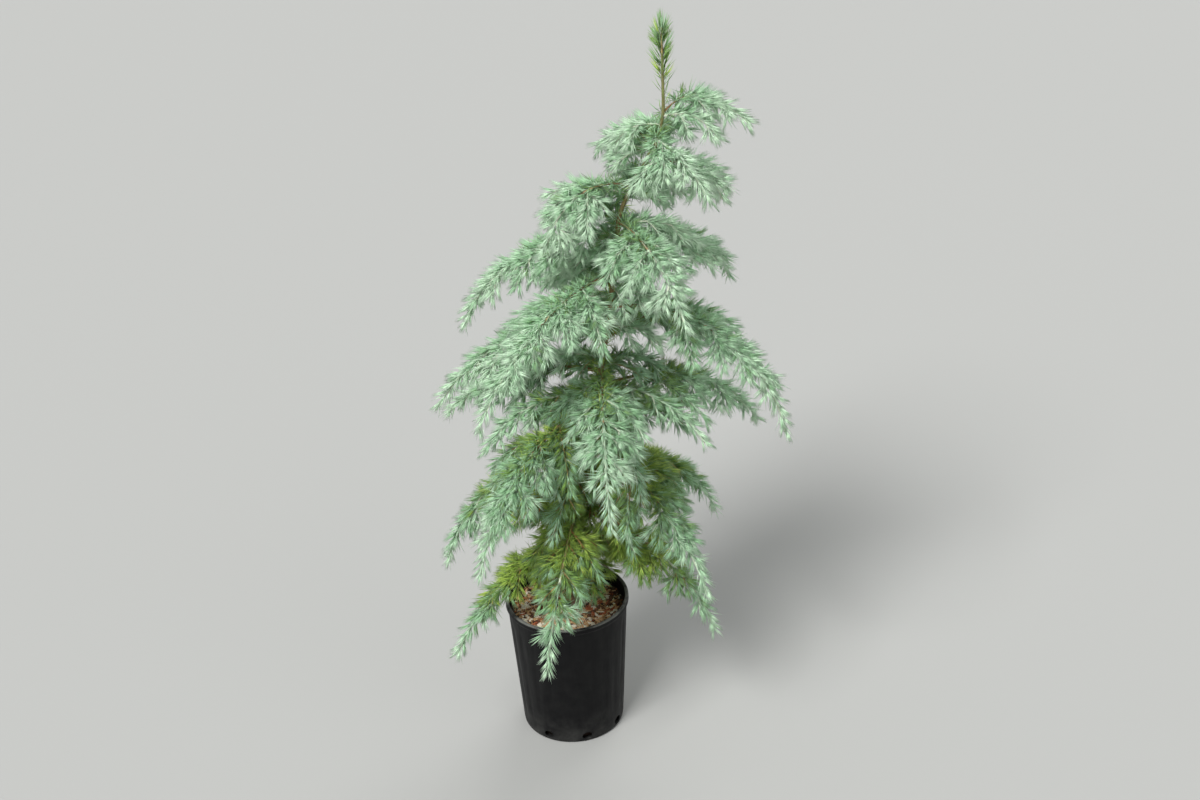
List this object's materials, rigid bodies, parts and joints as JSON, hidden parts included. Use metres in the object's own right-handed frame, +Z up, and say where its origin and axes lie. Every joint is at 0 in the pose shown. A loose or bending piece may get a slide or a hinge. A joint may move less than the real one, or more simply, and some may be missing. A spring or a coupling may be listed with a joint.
{
  "type": "potted deodar cedar",
  "caption": "Young weeping deodar cedar in a round black nursery pot: slender leaning trunk, spiralling boughs that droop, and masses of blue-green needles.",
  "frame": {"origin": "middle of the pot's flat underside", "axes": "+Z up the plant; +X towards the side that the trunk leans to; -Y towards the picture's viewer"},
  "size_m": [0.5112, 0.5168, 1.0295],
  "materials": {
    "pot_plastic": "matte black moulded polyethylene, greyer where the lip is rubbed",
    "bark_mix": "moist reddish-brown composted bark chips with a few pale ones",
    "bark": "thin brown bark, orange-tan on the young boughs and greyer on the trunk",
    "needles_blue": "glaucous blue-green needles, paler at the tips of the shoots",
    "needles_green": "older yellow-green needles, as on the lowest and innermost shoots"
  },
  "bodies": {
    "root": {"pot": "pot_plastic", "potting_mix": "bark_mix", "trunk": "bark", "bough_01": "bark", "foliage_01": "needles_green", "bough_02": "bark", "foliage_02": "needles_green", "bough_03": "bark", "foliage_03": "needles_green", "bough_04": "bark", "foliage_04": "needles_green", "bough_05": "bark", "foliage_05": "needles_blue", "bough_06": "bark", "foliage_06": "needles_blue", "bough_07": "bark", "foliage_07": "needles_blue", "bough_08": "bark", "foliage_08": "needles_blue", "bough_09": "bark", "foliage_09": "needles_blue", "bough_10": "bark", "foliage_10": "needles_blue", "bough_11": "bark", "foliage_11": "needles_blue", "bough_12": "bark", "foliage_12": "needles_blue", "bough_13": "bark", "foliage_13": "needles_blue", "bough_14": "bark", "foliage_14": "needles_blue", "bough_15": "bark", "foliage_15": "needles_blue", "bough_16": "bark", "foliage_16": "needles_blue", "bough_17": "bark", "foliage_17": "needles_blue", "bough_18": "bark", "foliage_18": "needles_blue", "bough_19": "bark", "foliage_19": "needles_blue", "bough_20": "bark", "foliage_20": "needles_blue", "bough_21": "bark", "foliage_21": "needles_blue", "bough_22": "bark", "foliage_22": "needles_blue", "bough_23": "bark", "foliage_23": "needles_blue", "bough_24": "bark", "foliage_24": "needles_blue", "bough_25": "bark", "foliage_25": "needles_blue", "bough_26": "bark", "foliage_26": "needles_blue", "bough_27": "bark", "foliage_27": "needles_blue", "foliage_leader": "needles_green"}
  },
  "joints": []
}
